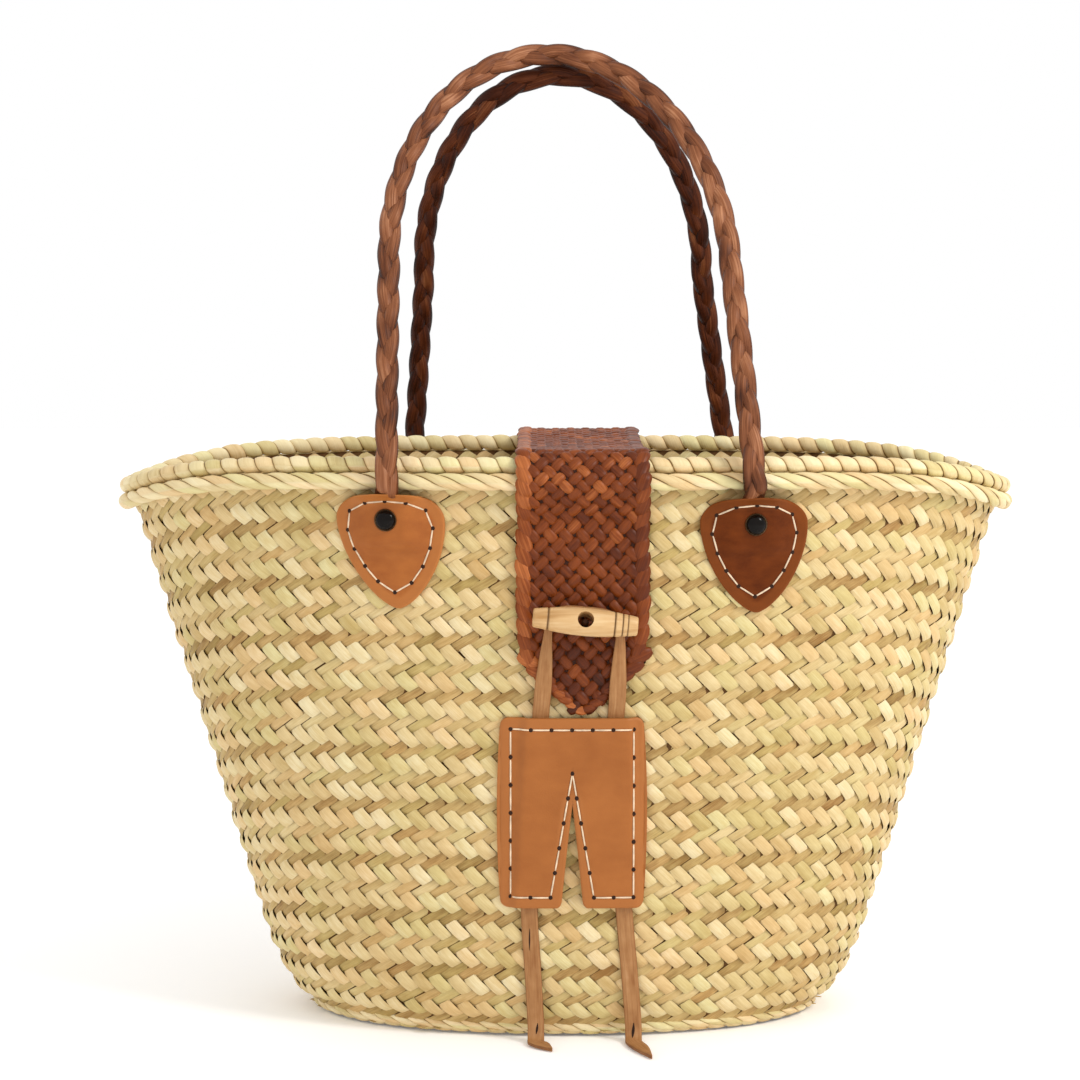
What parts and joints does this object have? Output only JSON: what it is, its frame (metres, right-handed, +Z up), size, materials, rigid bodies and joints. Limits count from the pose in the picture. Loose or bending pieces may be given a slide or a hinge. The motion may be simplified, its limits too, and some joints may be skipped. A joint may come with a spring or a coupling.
{
  "type": "straw basket bag",
  "caption": "Flared straw basket bag with a wrapped rim, braided leather handles on riveted tabs, and a woven strap closed by a toggle and thong.",
  "frame": {"origin": "centre of the flat underside of the base", "axes": "+Z up through the handles, -Y towards the front with the patch and toggle, +X to the right seen from the front"},
  "size_m": [0.5216, 0.2542, 0.5631],
  "materials": {
    "straw": "plaited palm leaf, satin",
    "straw_rim": "wound palm leaf, satin",
    "braid_leather_light": "round braid, satin",
    "braid_leather_dark": "round braid, satin",
    "tab_leather_light": "smooth vegetable tan",
    "tab_leather_dark": "smooth, waxed brown",
    "rivet_bronze": "dark bronze, polished dome",
    "woven_leather": "plaited strips, satin",
    "toggle_wood": "turned, lightly waxed",
    "lace_leather": "matt",
    "thong_leather": "split leather lace, matt",
    "patch_leather": "smooth vegetable tan"
  },
  "bodies": {
    "root": {"basket_body": "straw", "rim_coil": "straw_rim", "rim_rope": "straw_rim", "handle_front": "braid_leather_light", "handle_back": "braid_leather_dark", "handle_tab_front_left": "tab_leather_light", "handle_tab_front_right": "tab_leather_dark", "handle_tab_back_left": "tab_leather_light", "handle_tab_back_right": "tab_leather_dark", "rivet_front_left": "rivet_bronze", "rivet_front_right": "rivet_bronze", "rivet_back_left": "rivet_bronze", "rivet_back_right": "rivet_bronze", "closure_strap": "woven_leather", "toggle": "toggle_wood", "toggle_lace": "lace_leather", "closure_thong": "thong_leather", "front_patch": "patch_leather"}
  },
  "joints": []
}
